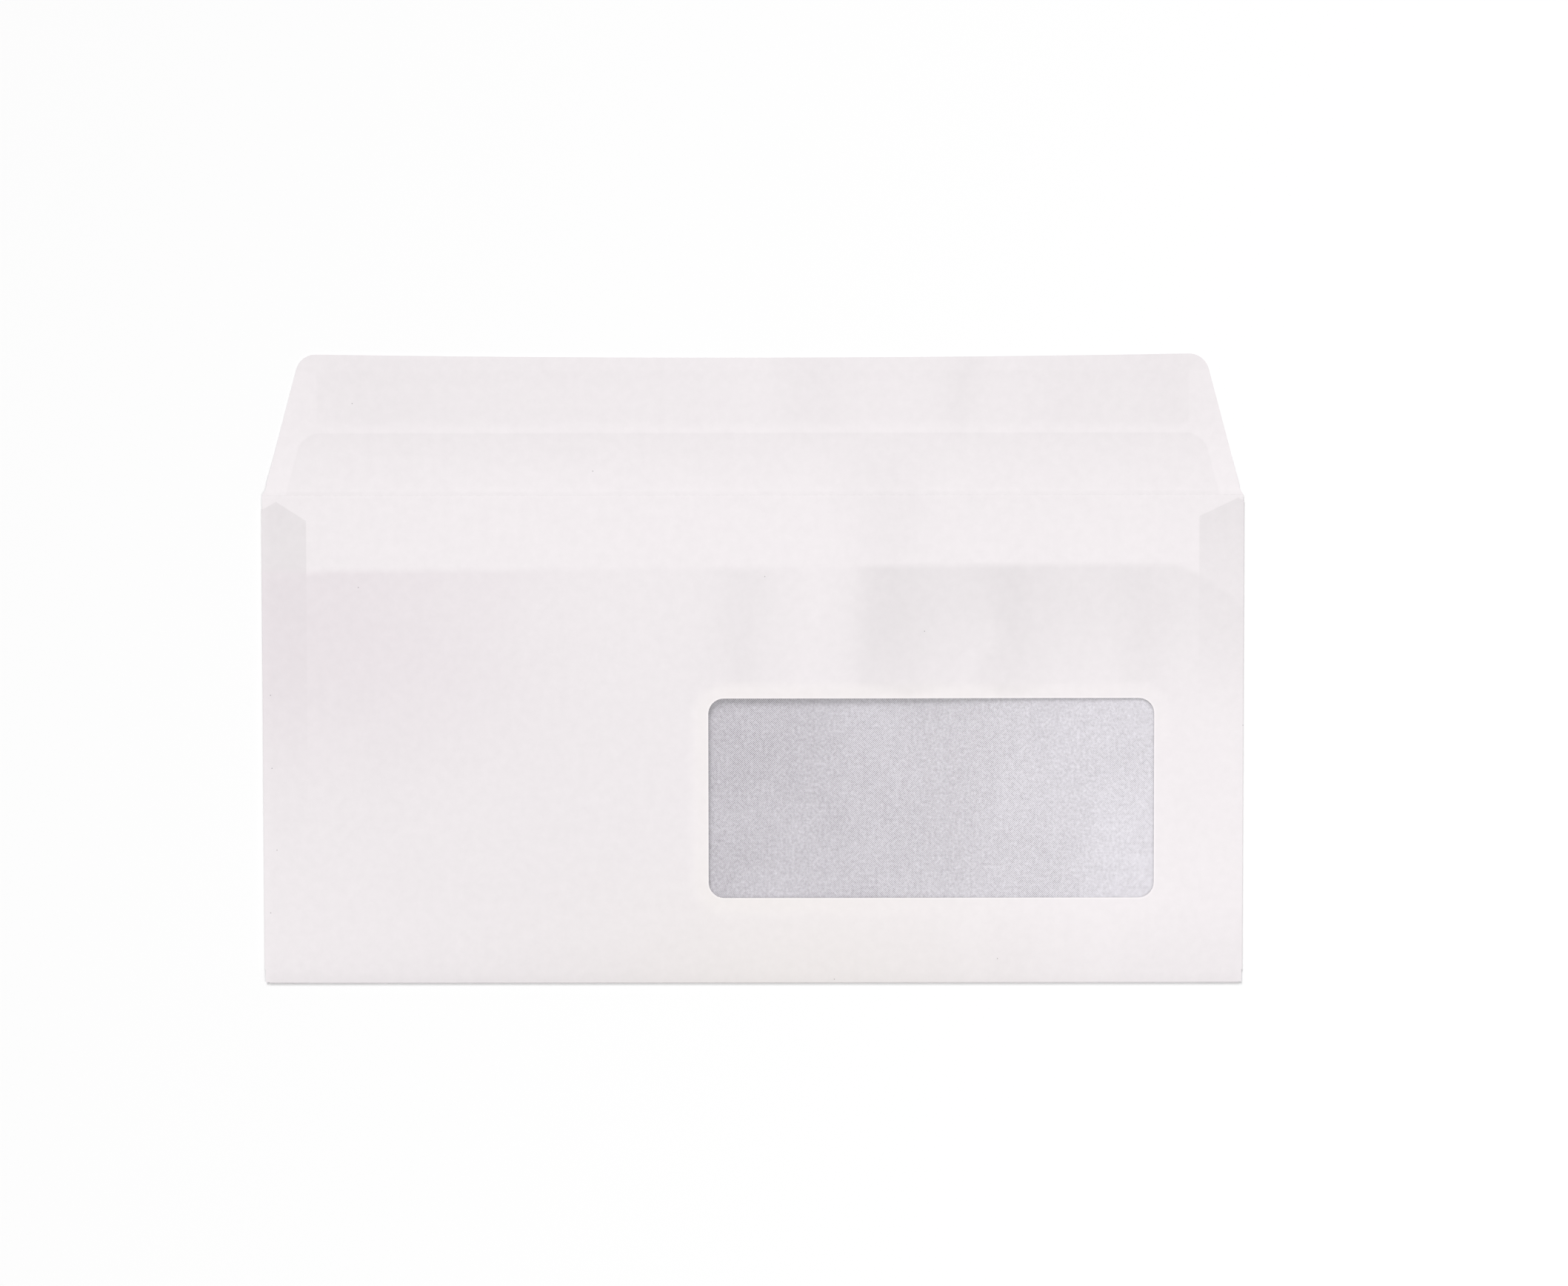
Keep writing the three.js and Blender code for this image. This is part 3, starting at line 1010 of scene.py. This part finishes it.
def folded_sheet(tree):
    """The envelope itself: one sheet with its window cut out, folded."""
    outlines = [
        blank_outline(),
        rounded_rectangle(window_left, window_bottom, window_width, window_height, window_radius),
    ]
    sheet = cut_sheet("folded_sheet", blank_columns(), blank_rows(), paper, outlines)
    folded(sheet, tree, {}, (paper_outside(), paper_inside(), paper_edge()))
    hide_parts("envelope_sheet")
    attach(sheet, "root")


def window_patch(tree):
    """The film behind the window, which follows the panel that it is glued to."""
    outline = rounded_rectangle(
        window_left - film_overlap,
        window_bottom - film_overlap,
        window_width + 2 * film_overlap,
        window_height + 2 * film_overlap,
        film_corner,
    )
    patch = cut_sheet("window_patch", blank_columns(), blank_rows(), film, [outline])
    folded(patch, tree, {"Depth offset": -glue - film, "Score depth": 0.0}, [clear_film()] * 3)
    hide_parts("window_film")
    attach(patch, "root")


def refinish(node, material):
    """Give a plain piece of the part its finish."""
    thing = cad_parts[node]
    thing.data.materials.clear()
    thing.data.materials.append(material)


def floor():
    """A plain pale floor, just under the envelope."""
    mesh = bpy.data.meshes.new("floor")
    signs = ((-1, -1), (1, -1), (1, 1), (-1, 1))
    corners = [(i * floor_reach, j * floor_reach, floor_level) for i, j in signs]
    mesh.from_pydata(corners, [], [(0, 1, 2, 3)])
    material, _, shader = tree_of("pale_floor")
    shader.inputs["Base Color"].default_value = (0.995, 0.995, 0.995, 1)
    shader.inputs["Roughness"].default_value = 1
    shader.inputs["Specular IOR Level"].default_value = 0
    mesh.materials.append(material)
    new_object("floor", mesh)


def world_light():
    """An even pale surround, which looks white where it is seen or mirrored."""
    world = bpy.data.worlds.new("studio")
    bpy.context.scene.world = world
    world.use_nodes = True
    background = world.node_tree.nodes["Background"]
    background.inputs["Color"].default_value = (1, 1, 1, 1)
    path = world.node_tree.nodes.new("ShaderNodeLightPath")
    seen = Term(world.node_tree, path.outputs["Is Camera Ray"])
    seen = seen.math("MAXIMUM", Term(world.node_tree, path.outputs["Is Glossy Ray"]))
    seen = seen.math("MAXIMUM", Term(world.node_tree, path.outputs["Is Transmission Ray"]))
    strength = seen * (1 - surround) + surround
    world.node_tree.links.new(strength.value, background.inputs["Strength"])


def aimed(name, data, place):
    """A lamp at a place, turned to the middle of the envelope."""
    lamp = new_object(name, data)
    lamp.location = place
    lamp.rotation_euler = Vector(place).to_track_quat("Z", "Y").to_euler()


def key_light():
    """Soft light from the upper left, which throws the window's shadow inwards."""
    data = bpy.data.lights.new("key_light", "SUN")
    data.angle = key_angle
    data.energy = key_share * math.pi * key_place.length / key_place.z
    aimed("key_light", data, key_place)


def overhead_light():
    """A big soft box above and to the right, mirrored in the right half of the film."""
    data = bpy.data.lights.new("overhead_light", "AREA")
    data.shape = "SQUARE"
    data.size = overhead_size
    data.energy = overhead_radiance * math.pi * overhead_size**2
    aimed("overhead_light", data, overhead_place)


def camera():
    """The camera looks down on the envelope, almost straight, at the photograph's scale."""
    tilt_y, tilt_x = math.sin(camera_tilt), math.sin(camera_yaw)
    back = Vector((tilt_x, tilt_y, math.sqrt(1 - tilt_x**2 - tilt_y**2)))
    up = Vector((-math.sin(camera_roll), math.cos(camera_roll), 0))
    right = up.cross(back).normalized()
    up = back.cross(right)
    data = bpy.data.cameras.new("camera")
    data.sensor_width = 36
    data.lens = lens_scale * camera_distance / image_width * data.sensor_width
    data.clip_end = 20
    seat = new_object("camera", data)
    place = camera_target + back * camera_distance
    turn = Matrix((right, up, back)).transposed().to_4x4()
    seat.matrix_world = Matrix.Translation(place) @ turn
    bpy.context.scene.camera = seat


camera()
world_light()
key_light()
overhead_light()
floor()
fold = fold_tree()
folded_sheet(fold)
window_patch(fold)
refinish("seal_adhesive", seal_glue())
refinish("release_liner", liner_paper())
bpy.context.scene.view_settings.view_transform = "Standard"
